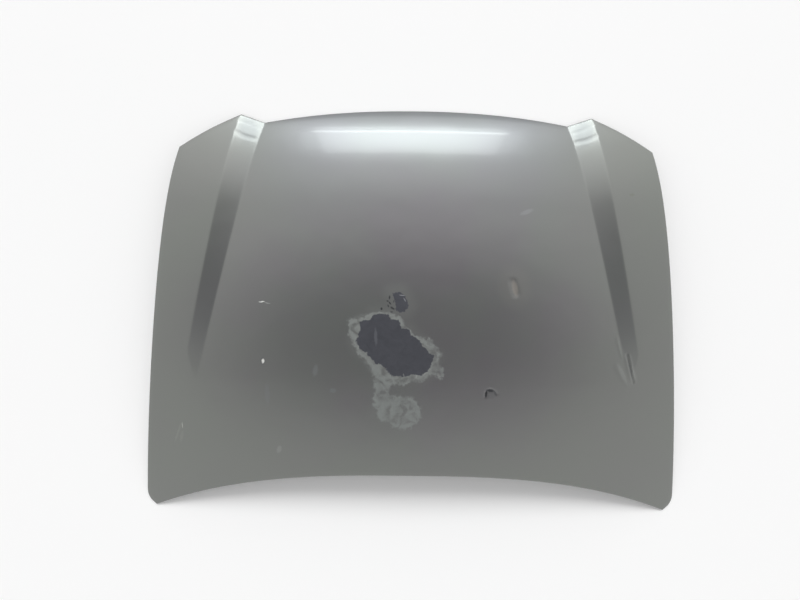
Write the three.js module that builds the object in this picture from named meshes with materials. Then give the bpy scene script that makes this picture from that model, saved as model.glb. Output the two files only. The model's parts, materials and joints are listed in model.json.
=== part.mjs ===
// Car bonnet, lying outer side up on its two rear tips and its nose. An outer skin of sheet steel is
// hemmed round a pressed inner frame, which carries the hinge pads, the striker and the rubber buffers.
// Millimetres: X runs across the car, +Y points to the nose and +Z is up.
import * as THREE from "three";

// Outline of the outer skin in plan, from the point midway between its two rear tips
const PANEL_LENGTH = 1105; // rear tips to the middle of the nose
const REAR_TIP_HALF = 735; // half the distance between the rear tips
const REAR_ARCH = 147; // how far the rear edge runs forward of the tips on the centre line
const REAR_ARCH_POWER = 2.6;
const TIP_FLARE = 29.5; // how far the side line, carried straight on, stands outside a rear tip
const TIP_CURVE_LENGTH = 60; // length over which the side line turns in to the rear tip
const CORNER_HALF = 597; // half the distance between the front corners
const CORNER_SETBACK = 97; // from the nose back to the front corners
const CORNER_TUCK = 23.5; // how far the side line turns in towards a front corner
const CORNER_TUCK_POWER = 8;
const HEADLAMP_BULGE = 4; // bow of the slanted edge over the headlamp

// The step between the raised shoulders and the sunken middle of the skin
const CREASE_FRONT_X = 386; // foot of the step at the front edge
const CREASE_SETBACK = 33; // from the nose back to the foot of the step
const CREASE_REAR_INSET = 47.8; // from a rear tip inwards to the foot's line, carried back to it
const NOSE_SWEEP_POWER = 2.2;
const CREST_SETBACK = 13.5; // from the nose back to the top of the step
const STEP_FRONT_WIDTH = 63.5;
const STEP_TAIL_WIDTH = 44;
const STEP_END_WIDTH = 14;
const STEP_END_Y = 410; // where the step has died away
const STEP_TAIL_LENGTH = 90; // length over which its tail narrows
const STEP_DEPTH = 22; // depth of the step at the front edge
const MIDDLE_DEPTH = 8; // how far the middle of the nose is sunk

// Crown of the skin
const CROWN_HEIGHT = 120;
const CROWN_Y = 560;
const REAR_FALL = 25; // from the crown to the rear edge, on the centre line
const SIDE_FALL_POWER = 2.2;
const NOSE_ROLL = 240; // length over which the nose turns down
const NOSE_ROLL_POWER = 3;

// Sheets and the hem that joins them
const SKIN_SHEET = 0.8;
const FRAME_SHEET = 0.7;
const SEAM_GAP = 0.3; // clearance between pieces that touch
const HEM_WIDTH = 12; // width of the skin's edge folded under the frame
const FLANGE_WIDTH = 14.5; // width of the frame's flange inside the hem
const HEM_RADIUS = SKIN_SHEET + SEAM_GAP + FRAME_SHEET / 2;
const FOLD_STEPS = 4;

// Cells of the skin from the centre line outwards and from the rear edge forward
const MIDDLE_CELLS = 6;
const SHOULDER_CELLS = 4;
const BODY_CELLS = 12;
const NOSE_CELLS = 8;

// Pressed inner frame
const FRAME_DEPTH = 30; // deepest distance below the skin
const FRAME_DEPTH_EASE = 22; // the frame rises towards the skin where the skin is this low
const WALL_RUN = 14; // slope of the wall inside the hem flange
const STEP_EASE = 40; // length over which the frame leaves the step of the skin
const WINDOW_FLANGE = 12; // glued flange round a window
const WINDOW_WALL_RUN = 10;
const GLUE_DEPTH = 4; // from the outer face of the skin to the glued flange
const WINDOW_RADIUS = 30;
const REAR_RAIL = 103; // from the rear edge to the windows on the centre line
const FRONT_RAIL = 200; // from the nose to the windows
const SIDE_RAIL_STEP = 45; // from the foot of the step inwards to the windows
const LATCH_RIB_SETBACK = 255; // from the nose back to the middle window
const RIB_WIDTH = 80;
const DIAGONAL_FRONT_X = 70; // the diagonal ribs' middle line, at the front rail
const DIAGONAL_REAR_INSET = 147; // and at the rear rail, inwards from the foot of the step
const CROSS_RIB_Y = 535;
const OUTER_RIB_Y = 605;
const WINDOW_TAIL = 45; // how far the outer windows stop short of the rear rail
const LONGEST_EDGE = 95; // of the faces that make the frame's curved floor
const CLOSEST_POINTS = 20; // between their corners, where a long edge is halved
const OUTLINE_STEP = 75;

// Pads pressed flat in the frame
const PAD_DROP = 4;
const PAD_WALL_RUN = 6;
const PAD_RADIUS = 14;
const HOLE_POINTS = 12;
const HINGE_PAD = { halfX: 28, halfY: 60 };
const HINGE_PAD_INSET = 115; // from the side edge
const HINGE_PAD_Y = 190;
const HINGE_BOLT_PITCH = 62;
const LATCH_PAD = { halfX: 76, halfY: 42 };
const LATCH_PAD_SETBACK = 130; // from the nose
const BOLT_DIAMETER = 8;
const BOLT_CLEARANCE = 0.6; // radial, in every hole that a bolt passes
const BUFFER_PAD_RADIUS = 18;
const FRONT_BUFFER_INSET = 105; // from the side edge
const FRONT_BUFFER_SETBACK = 122; // from the nose
const CUSHION_INSET = 62; // from the side edge
const CUSHION_REAR_Y = 430;
const CUSHION_FRONT_SETBACK = 405; // from the nose
const PROP_HOLE_INSET = 72; // from the side edge
const PROP_HOLE_SETBACK = 235; // from the nose
const PROP_HOLE_RADIUS = 9;

// Drain slots in the rails
const SLOT_HALF_WIDTH = 8;
const SLOT_CORNER_RADIUS = 7.5;
const SLOT_HALF_LENGTH = 26;
const REAR_SLOT_XS = [130, 300];
const REAR_SLOT_RAIL = 55; // from the rear edge
const SIDE_SLOT_SETBACKS = [540, 330]; // from the nose
const SIDE_SLOT_INSET = 96; // from the side edge

// Hardware
const REINFORCEMENT_SHEET = 2.5;
const REINFORCEMENT_MARGIN = 4; // from the edge of its pad
const NUT_ACROSS_FLATS = 13;
const NUT_HEIGHT = 6.5;
const BOLT_HEAD_HEIGHT = 5.3;
const THREAD_CHAMFER = 1; // of bolt heads and thread ends
const BOLT_POINT = 2; // past the nut
const STRIKER_PLATE = { halfX: 62, halfY: 22, thick: 3, radius: 10 };
const STRIKER_BOLT_INSET = 16; // from the plate's end
const STRIKER_ROD_RADIUS = 4;
const STRIKER_SPAN = 52; // between the legs
const STRIKER_DROP = 34; // below its plate
const STRIKER_BEND = 10;
const STRIKER_BEND_STEPS = 20;
const STRIKER_ROD_FACES = 5; // to a quarter turn, at most
const BUFFER_HEAD = { radius: 12, height: 13, chamfer: 3, shoulder: 2 };
const CUSHION_HEAD = { radius: 11, height: 9, chamfer: 4 };
const CUSHION_NECK_RADIUS = 4;
const CUSHION_BARB = { overhang: 2, height: 5, point: 1 };
const STUD_RADIUS = 4;
const STUD_REACH = 16; // above the pad
const GROMMET_LIP = { width: 4, thick: 3, chamfer: 1 };
const GROMMET_BORE = 5;
const GROMMET_RISE = 4; // above the pad
const ROUND_PARTS = 16;

// Steps of rounded corners and of searches
const CORNER_STEPS = 3;
const WINDOW_CORNER_STEPS = 4;
const MEET_ROUNDS = 40;
const EVEN_TOLERANCE = 1e-3;

// Mastic dabs that bond the window flanges to the skin
const DAB_RADIUS = 5;
const DAB_STRETCH = 2.3;
const DAB_EDGE = 1; // how far its top and bottom are drawn in
const DAB_POINTS = 10;

const lerp = THREE.MathUtils.lerp;
const clamp = THREE.MathUtils.clamp;
const smooth = (u) => THREE.MathUtils.smoothstep(u, 0, 1);

// Materials
function finish(color, roughness, metalness) {
  return new THREE.MeshStandardMaterial({ color, roughness, metalness });
}
const outerPaint = finish(0x6f7473, 0.38, 0.35);
const framePaint = finish(0x64686a, 0.5, 0.25);
const plainSteel = finish(0x8b8d8e, 0.45, 0.9);
const zincSteel = finish(0xa9a690, 0.35, 0.9);
const blackRubber = finish(0x1c1c1d, 0.85, 0);
const greyMastic = finish(0x8d8a80, 0.9, 0);

const bonnet = new THREE.Group();

function addPiece(name, geometry, material) {
  const mesh = new THREE.Mesh(geometry, material);
  mesh.name = name;
  bonnet.add(mesh);
  return mesh;
}

// Plan of the skin. Each function takes a distance from the centre line or from the rear tips.
const cornerY = PANEL_LENGTH - CORNER_SETBACK;
const creaseFrontY = PANEL_LENGTH - CREASE_SETBACK;
const crestFrontY = PANEL_LENGTH - CREST_SETBACK;
const creaseSpread = (REAR_TIP_HALF - CREASE_REAR_INSET - CREASE_FRONT_X) / creaseFrontY;

function rearEdgeY(x) {
  return REAR_ARCH * (1 - Math.pow(Math.abs(x) / REAR_TIP_HALF, REAR_ARCH_POWER));
}

function creaseX(y) {
  return CREASE_FRONT_X + creaseSpread * (creaseFrontY - y);
}

function stepWidth(y) {
  const tailStart = STEP_END_Y + STEP_TAIL_LENGTH;
  const tail = lerp(STEP_END_WIDTH, STEP_TAIL_WIDTH, smooth((y - STEP_END_Y) / STEP_TAIL_LENGTH));
  const along = clamp((y - tailStart) / (crestFrontY - tailStart), 0, 1);
  return tail + (STEP_FRONT_WIDTH - STEP_TAIL_WIDTH) * along;
}

function crestX(y) {
  return creaseX(y) + stepWidth(y);
}

const crestFrontX = crestX(crestFrontY);

function frontEdgeY(across) {
  const x = Math.abs(across);
  if (x <= CREASE_FRONT_X) {
    return PANEL_LENGTH - CREASE_SETBACK * Math.pow(x / CREASE_FRONT_X, NOSE_SWEEP_POWER);
  }
  if (x <= crestFrontX) {
    return lerp(creaseFrontY, crestFrontY, (x - CREASE_FRONT_X) / (crestFrontX - CREASE_FRONT_X));
  }
  const along = (x - crestFrontX) / (CORNER_HALF - crestFrontX);
  return lerp(crestFrontY, cornerY, along) + HEADLAMP_BULGE * Math.sin(Math.PI * clamp(along, 0, 1));
}

function sideEdgeX(y) {
  const along = y / cornerY;
  const straight = lerp(REAR_TIP_HALF + TIP_FLARE, CORNER_HALF + CORNER_TUCK, along);
  const tip = TIP_FLARE * Math.pow(Math.max(0, 1 - y / TIP_CURVE_LENGTH), 3);
  return straight - tip - CORNER_TUCK * Math.pow(Math.max(0, along), CORNER_TUCK_POWER);
}

function flangeX(y) {
  const slope = sideEdgeX(y + 0.5) - sideEdgeX(y - 0.5);
  return sideEdgeX(y) - FLANGE_WIDTH * Math.hypot(1, slope);
}

// Where a lengthwise line meets the rear or the front edge
function meet(lineX, edgeY, startY) {
  let y = startY;
  for (let round = 0; round < MEET_ROUNDS; round += 1) {
    y = edgeY(lineX(y));
  }
  return y;
}

// Heights of the skin
const crownBow = REAR_FALL / Math.pow(CROWN_Y - REAR_ARCH, 2);
const tipDrop = CROWN_HEIGHT - crownBow * CROWN_Y * CROWN_Y;

function crownAt(x, y) {
  const bow = crownBow * Math.pow(y - CROWN_Y, 2);
  return CROWN_HEIGHT - bow - tipDrop * Math.pow(Math.abs(x) / REAR_TIP_HALF, SIDE_FALL_POWER);
}

function bodyAt(x, y) {
  const noseY = PANEL_LENGTH - CREST_SETBACK * Math.pow(x / crestFrontX, 2);
  const roll = Math.pow(Math.max(0, 1 - (noseY - y) / NOSE_ROLL), NOSE_ROLL_POWER);
  return crownAt(x, y) - (crownAt(x, noseY) - MIDDLE_DEPTH) * roll;
}

// Depth of the sunken middle at a point. The fade is the width over which it rises to the shoulder.
function sunkAt(x, y, fade) {
  const along = Math.max(0, (y - STEP_END_Y) / (creaseFrontY - STEP_END_Y));
  const atFoot = STEP_DEPTH * along;
  const atMiddle = MIDDLE_DEPTH * smooth(along);
  const out = Math.abs(x) / creaseX(y);
  if (out < 1) {
    return lerp(atMiddle, atFoot, out * out);
  }
  return atFoot * (1 - fade((Math.abs(x) - creaseX(y)) / stepWidth(y)));
}

function skinAt(x, y) {
  return bodyAt(x, y) - sunkAt(x, y, (share) => clamp(share, 0, 1));
}

// The frame leaves the step in one long slope, always below the skin.
function groundAt(x, y) {
  const width = stepWidth(y);
  return bodyAt(x, y) - sunkAt(x, y, (share) => smooth((share * width) / (width + STEP_EASE)));
}

function frameAt(x, y) {
  const ground = Math.max(0, groundAt(x, y));
  return ground - (FRAME_DEPTH * ground) / (ground + FRAME_DEPTH_EASE);
}

// A sheet is a list of upper points and triangles that face up or out. These helpers add to it.
function newSheet() {
  return { points: [], triangles: [] };
}

function addRing(sheet, ring) {
  return ring.map((point) => sheet.points.push(point) - 1);
}

function addStrip(sheet, outer, inner) {
  outer.forEach((a, i) => {
    const next = (i + 1) % outer.length;
    sheet.triangles.push([a, outer[next], inner[next]]);
    if (inner[i] !== inner[next]) {
      sheet.triangles.push([a, inner[next], inner[i]]);
    }
  });
}

// The folded part of the hem, cut along the same diagonals as the flange that lies in it
function addFoldedStrip(sheet, outer, inner) {
  outer.forEach((a, i) => {
    const next = (i + 1) % outer.length;
    sheet.triangles.push([a, outer[next], inner[i]], [outer[next], inner[next], inner[i]]);
  });
}

// The normal of each point, from the faces round it by their angles there, and the stretch that keeps
// a sheet's thickness where it bends
function pointNormals(points, triangles) {
  const normals = points.map(() => new THREE.Vector3());
  const meeting = points.map(() => []);
  for (const [a, b, c] of triangles) {
    for (const [at, one, two] of [[a, b, c], [b, c, a], [c, a, b]]) {
      const first = points[one].clone().sub(points[at]).normalize();
      const second = points[two].clone().sub(points[at]).normalize();
      const angle = Math.acos(clamp(first.dot(second), -1, 1));
      const face = first.cross(second).normalize();
      normals[at].addScaledVector(face, angle);
      meeting[at].push({ face, angle });
    }
  }
  return normals.map((normal, i) => {
    normal.normalize();
    const angles = meeting[i].reduce((sum, { angle }) => sum + angle, 0);
    const along = meeting[i].reduce((sum, { face, angle }) => sum + angle * face.dot(normal), 0);
    return normal.multiplyScalar(angles / along);
  });
}

// Closes two matching layers into one solid, with a rim round every free edge.
function closeLayers(upper, lower, triangles) {
  const count = upper.length;
  const edges = new Set();
  const faces = [];
  for (const [a, b, c] of triangles) {
    faces.push(a, b, c, a + count, c + count, b + count);
    for (const [from, to] of [[a, b], [b, c], [c, a]]) {
      edges.add(from * count + to);
    }
  }
  for (const edge of edges) {
    const from = Math.floor(edge / count);
    const to = edge % count;
    if (!edges.has(to * count + from)) {
      faces.push(to, from, from + count, to, from + count, to + count);
    }
  }
  const geometry = new THREE.BufferGeometry();
  geometry.setFromPoints([...upper, ...lower]);
  geometry.setIndex(faces);
  geometry.computeVertexNormals();
  return geometry;
}

// Grid of the skin. Each lengthwise line runs from the rear edge to the front edge.
function lengthLine(lineX, rearY, frontY) {
  return (t) => {
    const y = lerp(rearY, frontY, t);
    return new THREE.Vector2(lineX(y), y);
  };
}

function lineBetweenEdges(lineX) {
  return lengthLine(lineX, meet(lineX, rearEdgeY, 0), meet(lineX, frontEdgeY, cornerY));
}

// Fills between two lines, and follows the rear and front edges there.
function fillBetween(left, right) {
  return (f, t) => {
    const point = left(t).lerp(right(t), f);
    const rear = left(0).lerp(right(0), f);
    const front = left(1).lerp(right(1), f);
    point.y += (1 - t) * (rearEdgeY(rear.x) - rear.y) + t * (frontEdgeY(front.x) - front.y);
    return point;
  };
}

function skinColumns() {
  const middle = lengthLine(() => 0, REAR_ARCH, PANEL_LENGTH);
  const creaseRearY = meet(creaseX, rearEdgeY, 0);
  const crestRearY = meet(crestX, rearEdgeY, 0);
  const crease = lengthLine(creaseX, creaseRearY, creaseFrontY);
  const crest = lengthLine(crestX, crestRearY, crestFrontY);
  const flange = lineBetweenEdges(flangeX);
  const side = lengthLine(sideEdgeX, 0, cornerY);
  const columns = [middle];
  const inner = fillBetween(middle, crease);
  const outer = fillBetween(crest, flange);
  for (let k = 1; k < MIDDLE_CELLS; k += 1) {
    columns.push((t) => inner(k / MIDDLE_CELLS, t));
  }
  columns.push(crease, crest);
  for (let k = 1; k < SHOULDER_CELLS; k += 1) {
    columns.push((t) => outer(k / SHOULDER_CELLS, t));
  }
  columns.push(flange, side);
  return columns;
}

function rowSteps() {
  const hem = FLANGE_WIDTH / cornerY;
  const noseStart = 1 - NOSE_ROLL / cornerY;
  const steps = [0];
  for (let k = 0; k < BODY_CELLS; k += 1) {
    steps.push(lerp(hem, noseStart, k / BODY_CELLS));
  }
  for (let k = 0; k <= NOSE_CELLS; k += 1) {
    steps.push(lerp(noseStart, 1 - hem, k / NOSE_CELLS));
  }
  steps.push(1);
  return steps;
}

const columns = skinColumns();
const rows = rowSteps();
const columnCount = 2 * columns.length - 1;
const gridPoints = [];
for (const t of rows) {
  for (let j = 0; j < columnCount; j += 1) {
    const across = j - (columns.length - 1);
    const plan = columns[Math.abs(across)](t);
    const x = Math.sign(across) * plan.x;
    gridPoints.push(new THREE.Vector3(x, plan.y, skinAt(x, plan.y)));
  }
}
const gridIndex = (row, column) => row * columnCount + column;

function gridTriangles(fromRow, toRow, fromColumn, toColumn) {
  const triangles = [];
  for (let row = fromRow; row < toRow; row += 1) {
    for (let column = fromColumn; column < toColumn; column += 1) {
      const a = gridIndex(row, column);
      const b = gridIndex(row, column + 1);
      const c = gridIndex(row + 1, column + 1);
      const d = gridIndex(row + 1, column);
      if (column < columns.length - 1) {
        triangles.push([a, b, d], [b, c, d]);
      } else {
        triangles.push([a, b, c], [a, c, d]);
      }
    }
  }
  return triangles;
}

const lastRow = rows.length - 1;
const lastColumn = columnCount - 1;
const gridNormals = pointNormals(gridPoints, gridTriangles(0, lastRow, 0, lastColumn));

// The border runs anticlockwise from the rear left tip. Its partner is the nearest grid point inside.
const border = [];
for (let column = 0; column < lastColumn; column += 1) {
  border.push([0, column]);
}
for (let row = 0; row < lastRow; row += 1) {
  border.push([row, lastColumn]);
}
for (let column = lastColumn; column > 0; column -= 1) {
  border.push([lastRow, column]);
}
for (let row = lastRow; row > 0; row -= 1) {
  border.push([row, 0]);
}
const partnerOf = ([row, column]) => [
  clamp(row, 1, lastRow - 1),
  clamp(column, 1, lastColumn - 1),
];

// A point on the border cell, from the edge inwards by a share of the flange and down by a depth
function underBorder(cell, share, depth) {
  const edge = gridIndex(...cell);
  const inside = gridIndex(...partnerOf(cell));
  const normal = gridNormals[edge].clone().lerp(gridNormals[inside], share);
  return gridPoints[edge].clone().lerp(gridPoints[inside], share).addScaledVector(normal, -depth);
}

const foldShare = HEM_RADIUS / FLANGE_WIDTH;
const hemShare = HEM_WIDTH / FLANGE_WIDTH;

// A point of the hem's fold, at a radius from its middle and an angle from the top
function foldPoint(cell, radius, angle) {
  const edge = gridIndex(...cell);
  const start = underBorder(cell, foldShare, 0);
  const outwards = gridPoints[edge].clone().sub(start);
  return underBorder(cell, foldShare, HEM_RADIUS)
    .addScaledVector(outwards, (radius / HEM_RADIUS) * Math.sin(angle))
    .addScaledVector(gridNormals[edge], radius * Math.cos(angle));
}

function outerSkin() {
  const sheet = newSheet();
  const lower = [];
  const innerRadius = HEM_RADIUS - SKIN_SHEET;
  const indexOf = new Map();
  for (let row = 1; row < lastRow; row += 1) {
    for (let column = 1; column < lastColumn; column += 1) {
      const at = gridIndex(row, column);
      indexOf.set(at, sheet.points.push(gridPoints[at]) - 1);
      lower.push(gridPoints[at].clone().addScaledVector(gridNormals[at], -SKIN_SHEET));
    }
  }
  for (const triangle of gridTriangles(1, lastRow - 1, 1, lastColumn - 1)) {
    sheet.triangles.push(triangle.map((at) => indexOf.get(at)));
  }
  let ring = border.map((cell) => indexOf.get(gridIndex(...partnerOf(cell))));
  for (let step = 0; step <= FOLD_STEPS; step += 1) {
    const angle = (Math.PI * step) / FOLD_STEPS;
    const next = addRing(sheet, border.map((cell) => foldPoint(cell, HEM_RADIUS, angle)));
    lower.push(...border.map((cell) => foldPoint(cell, innerRadius, angle)));
    addStrip(sheet, next, ring);
    ring = next;
  }
  const hem = addRing(sheet, border.map((cell) => underBorder(cell, hemShare, 2 * HEM_RADIUS)));
  lower.push(...border.map((cell) => underBorder(cell, hemShare, 2 * HEM_RADIUS - SKIN_SHEET)));
  addFoldedStrip(sheet, hem, ring);
  return closeLayers(sheet.points, lower, sheet.triangles);
}

// Outlines in plan, as points with the direction away from the middle of the shape
function outlinePoint(x, y, outX, outY) {
  return { x, y, outX, outY };
}

function roundOutline(x, y, radius, count) {
  const points = [];
  for (let k = 0; k < count; k += 1) {
    const angle = (2 * Math.PI * k) / count;
    const outX = Math.cos(angle);
    const outY = Math.sin(angle);
    points.push(outlinePoint(x + radius * outX, y + radius * outY, outX, outY));
  }
  return points;
}

// A polygon, anticlockwise, with rounded corners and its long sides cut into steps
function roundedOutline(corners, radius, arcSteps) {
  const points = [];
  corners.forEach((corner, i) => {
    const before = corners[(i + corners.length - 1) % corners.length];
    const after = corners[(i + 1) % corners.length];
    const into = corner.clone().sub(before).normalize();
    const away = after.clone().sub(corner).normalize();
    const turn = Math.atan2(into.cross(away), into.dot(away));
    const cut = radius * Math.tan(turn / 2);
    const start = corner.clone().addScaledVector(into, -cut);
    const middle = start.clone().add(new THREE.Vector2(-into.y, into.x).multiplyScalar(radius));
    const startAngle = Math.atan2(-into.x, into.y);
    for (let k = 0; k <= arcSteps; k += 1) {
      const angle = startAngle + (turn * k) / arcSteps;
      const outX = Math.cos(angle);
      const outY = Math.sin(angle);
      points.push(outlinePoint(middle.x + radius * outX, middle.y + radius * outY, outX, outY));
    }
  });
  const stepped = [];
  points.forEach((point, i) => {
    const next = points[(i + 1) % points.length];
    const cuts = Math.ceil(Math.hypot(next.x - point.x, next.y - point.y) / OUTLINE_STEP);
    for (let k = 0; k < cuts; k += 1) {
      const x = lerp(point.x, next.x, k / cuts);
      const y = lerp(point.y, next.y, k / cuts);
      stepped.push(outlinePoint(x, y, point.outX, point.outY));
    }
  });
  return stepped;
}

function boxOutline(x, y, halfX, halfY, radius) {
  const corners = [
    new THREE.Vector2(x - halfX, y - halfY),
    new THREE.Vector2(x + halfX, y - halfY),
    new THREE.Vector2(x + halfX, y + halfY),
    new THREE.Vector2(x - halfX, y + halfY),
  ];
  return roundedOutline(corners, radius, CORNER_STEPS);
}

// The outline moved out by a distance, and lifted to the heights that a function gives
function lifted(outline, distance, heightAt) {
  return outline.map((point) => {
    const x = point.x + point.outX * distance;
    const y = point.y + point.outY * distance;
    return new THREE.Vector3(x, y, heightAt(x, y));
  });
}

const mirrored = (corners) => corners.map((c) => new THREE.Vector2(-c.x, c.y)).reverse();

// Windows of the frame, between its rails, its two diagonal ribs and its cross ribs
const diagonalFrontY = PANEL_LENGTH - FRONT_RAIL;
const diagonalRearY = REAR_ARCH + REAR_RAIL;
const diagonalRearX = creaseX(diagonalRearY) - DIAGONAL_REAR_INSET;
const diagonalRun = (diagonalRearX - DIAGONAL_FRONT_X) / (diagonalFrontY - diagonalRearY);
const ribHalfAcross = (RIB_WIDTH / 2) * Math.hypot(1, diagonalRun);
const diagonalX = (y, side) => {
  return DIAGONAL_FRONT_X + diagonalRun * (diagonalFrontY - y) + side * ribHalfAcross;
};
const windowSideX = (y) => creaseX(y) - SIDE_RAIL_STEP;
const planPoint = (x, y) => new THREE.Vector2(x, y);

function middleWindow(rearY, frontY) {
  return [
    planPoint(-diagonalX(rearY, -1), rearY),
    planPoint(diagonalX(rearY, -1), rearY),
    planPoint(diagonalX(frontY, -1), frontY),
    planPoint(-diagonalX(frontY, -1), frontY),
  ];
}

function outerWindow(rearY, frontY) {
  return [
    planPoint(diagonalX(rearY, 1), rearY),
    planPoint(windowSideX(rearY), rearY),
    planPoint(windowSideX(frontY), frontY),
    planPoint(diagonalX(frontY, 1), frontY),
  ];
}

const crossHalf = RIB_WIDTH / 2 - WINDOW_WALL_RUN / 2;
const frontOuter = outerWindow(OUTER_RIB_Y + crossHalf, diagonalFrontY);
const rearOuter = outerWindow(diagonalRearY + WINDOW_TAIL, OUTER_RIB_Y - crossHalf);
const windowCorners = [
  middleWindow(diagonalRearY, CROSS_RIB_Y - crossHalf),
  middleWindow(CROSS_RIB_Y + crossHalf, PANEL_LENGTH - LATCH_RIB_SETBACK),
  frontOuter,
  mirrored(frontOuter),
  rearOuter,
  mirrored(rearOuter),
];
const windows = windowCorners.map((corners) => {
  return roundedOutline(corners, WINDOW_RADIUS, WINDOW_CORNER_STEPS);
});

// Pads: each has a place, an outline, a flat height and the holes through it
function makePad(x, y, outline, holes) {
  return { x, y, outline, z: frameAt(x, y) - PAD_DROP, holes };
}

function boltHole(x, y) {
  return roundOutline(x, y, BOLT_DIAMETER / 2 + BOLT_CLEARANCE, HOLE_POINTS);
}

function hingePad(side) {
  const x = side * (sideEdgeX(HINGE_PAD_Y) - HINGE_PAD_INSET);
  const outline = boxOutline(x, HINGE_PAD_Y, HINGE_PAD.halfX, HINGE_PAD.halfY, PAD_RADIUS);
  const bolts = [-1, 1].map((end) => ({ x, y: HINGE_PAD_Y + (end * HINGE_BOLT_PITCH) / 2 }));
  return { ...makePad(x, HINGE_PAD_Y, outline, bolts.map((b) => boltHole(b.x, b.y))), bolts };
}

function latchPad() {
  const y = PANEL_LENGTH - LATCH_PAD_SETBACK;
  const outline = boxOutline(0, y, LATCH_PAD.halfX, LATCH_PAD.halfY, PAD_RADIUS);
  const bolts = [-1, 1].map((end) => ({ x: end * (STRIKER_PLATE.halfX - STRIKER_BOLT_INSET), y }));
  return { ...makePad(0, y, outline, bolts.map((b) => boltHole(b.x, b.y))), bolts };
}

function roundPad(x, y, holeRadius) {
  const outline = roundOutline(x, y, BUFFER_PAD_RADIUS, ROUND_PARTS);
  return makePad(x, y, outline, [roundOutline(x, y, holeRadius, HOLE_POINTS)]);
}

const studHole = STUD_RADIUS + BOLT_CLEARANCE;
const neckHole = CUSHION_NECK_RADIUS + BOLT_CLEARANCE;
const frontBufferY = PANEL_LENGTH - FRONT_BUFFER_SETBACK;
const hingePads = [hingePad(-1), hingePad(1)];
const latch = latchPad();
const frontBuffers = [-1, 1].map((side) => {
  return roundPad(side * (sideEdgeX(frontBufferY) - FRONT_BUFFER_INSET), frontBufferY, studHole);
});
const cushionRows = [
  { place: "rear", y: CUSHION_REAR_Y },
  { place: "front", y: PANEL_LENGTH - CUSHION_FRONT_SETBACK },
];
const cushions = cushionRows.flatMap(({ place, y }) => [-1, 1].map((side) => {
  return { place, ...roundPad(side * (sideEdgeX(y) - CUSHION_INSET), y, neckHole) };
}));
const propHoleY = PANEL_LENGTH - PROP_HOLE_SETBACK;
const propPad = roundPad(PROP_HOLE_INSET - sideEdgeX(propHoleY), propHoleY, PROP_HOLE_RADIUS);
const pads = [...hingePads, latch, ...frontBuffers, ...cushions, propPad];

// Drain slots
function slotOutlines() {
  const slots = [];
  for (const side of [-1, 1]) {
    for (const x of REAR_SLOT_XS) {
      const y = rearEdgeY(x) + REAR_SLOT_RAIL;
      slots.push(boxOutline(side * x, y, SLOT_HALF_LENGTH, SLOT_HALF_WIDTH, SLOT_CORNER_RADIUS));
    }
    for (const setback of SIDE_SLOT_SETBACKS) {
      const y = PANEL_LENGTH - setback;
      const x = side * (sideEdgeX(y) - SIDE_SLOT_INSET);
      slots.push(boxOutline(x, y, SLOT_HALF_WIDTH, SLOT_HALF_LENGTH, SLOT_CORNER_RADIUS));
    }
  }
  return slots;
}

// Fills an anticlockwise outline with holes by triangles that face up
function fillOutline(sheet, outerRing, holeRings) {
  const flat = (ring) => ring.map((at) => new THREE.Vector2(sheet.points[at].x, sheet.points[at].y));
  const all = [outerRing, ...holeRings].flat();
  const faces = THREE.ShapeUtils.triangulateShape(flat(outerRing), holeRings.map(flat));
  return faces.map((face) => face.map((at) => all[at]));
}

function turnOf(a, b, c) {
  return (b.x - a.x) * (c.y - a.y) - (b.y - a.y) * (c.x - a.x);
}

// True when the fourth point lies inside the circle through the first three, in plan
function insideCircle(a, b, c, d) {
  const [ax, ay, bx, by, cx, cy] = [a.x - d.x, a.y - d.y, b.x - d.x, b.y - d.y, c.x - d.x, c.y - d.y];
  const one = (ax * ax + ay * ay) * (bx * cy - cx * by);
  const two = (bx * bx + by * by) * (ax * cy - cx * ay);
  const three = (cx * cx + cy * cy) * (ax * by - bx * ay);
  return one - two + three > EVEN_TOLERANCE;
}

// Pairs of triangles that share an edge, with the edge's ends and the two points across it
function sharedEdges(triangles) {
  const owners = new Map();
  triangles.forEach(([a, b, c], t) => {
    owners.set(a + "," + b, [t, c]);
    owners.set(b + "," + c, [t, a]);
    owners.set(c + "," + a, [t, b]);
  });
  const pairs = [];
  for (const [edge, [t, top]] of owners) {
    const [a, b] = edge.split(",").map(Number);
    const mate = owners.get(b + "," + a);
    if (a < b && mate) {
      pairs.push({ a, b, top, t, bottom: mate[1], mate: mate[0] });
    }
  }
  return pairs;
}

// Turns shared edges until the triangles are as even as they can be
function evenOut(points, triangles) {
  let changed = true;
  while (changed) {
    changed = false;
    const used = new Set();
    for (const { a, b, top, t, bottom, mate } of sharedEdges(triangles)) {
      if (used.has(t) || used.has(mate)) {
        continue;
      }
      const [pa, pb, pc, pd] = [points[a], points[b], points[top], points[bottom]];
      const convex = Math.min(turnOf(pa, pd, pc), turnOf(pd, pb, pc)) > EVEN_TOLERANCE;
      if (convex && insideCircle(pa, pb, pc, pd)) {
        triangles[t] = [a, bottom, top];
        triangles[mate] = [bottom, b, top];
        used.add(t).add(mate);
        changed = true;
      }
    }
  }
}

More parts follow.
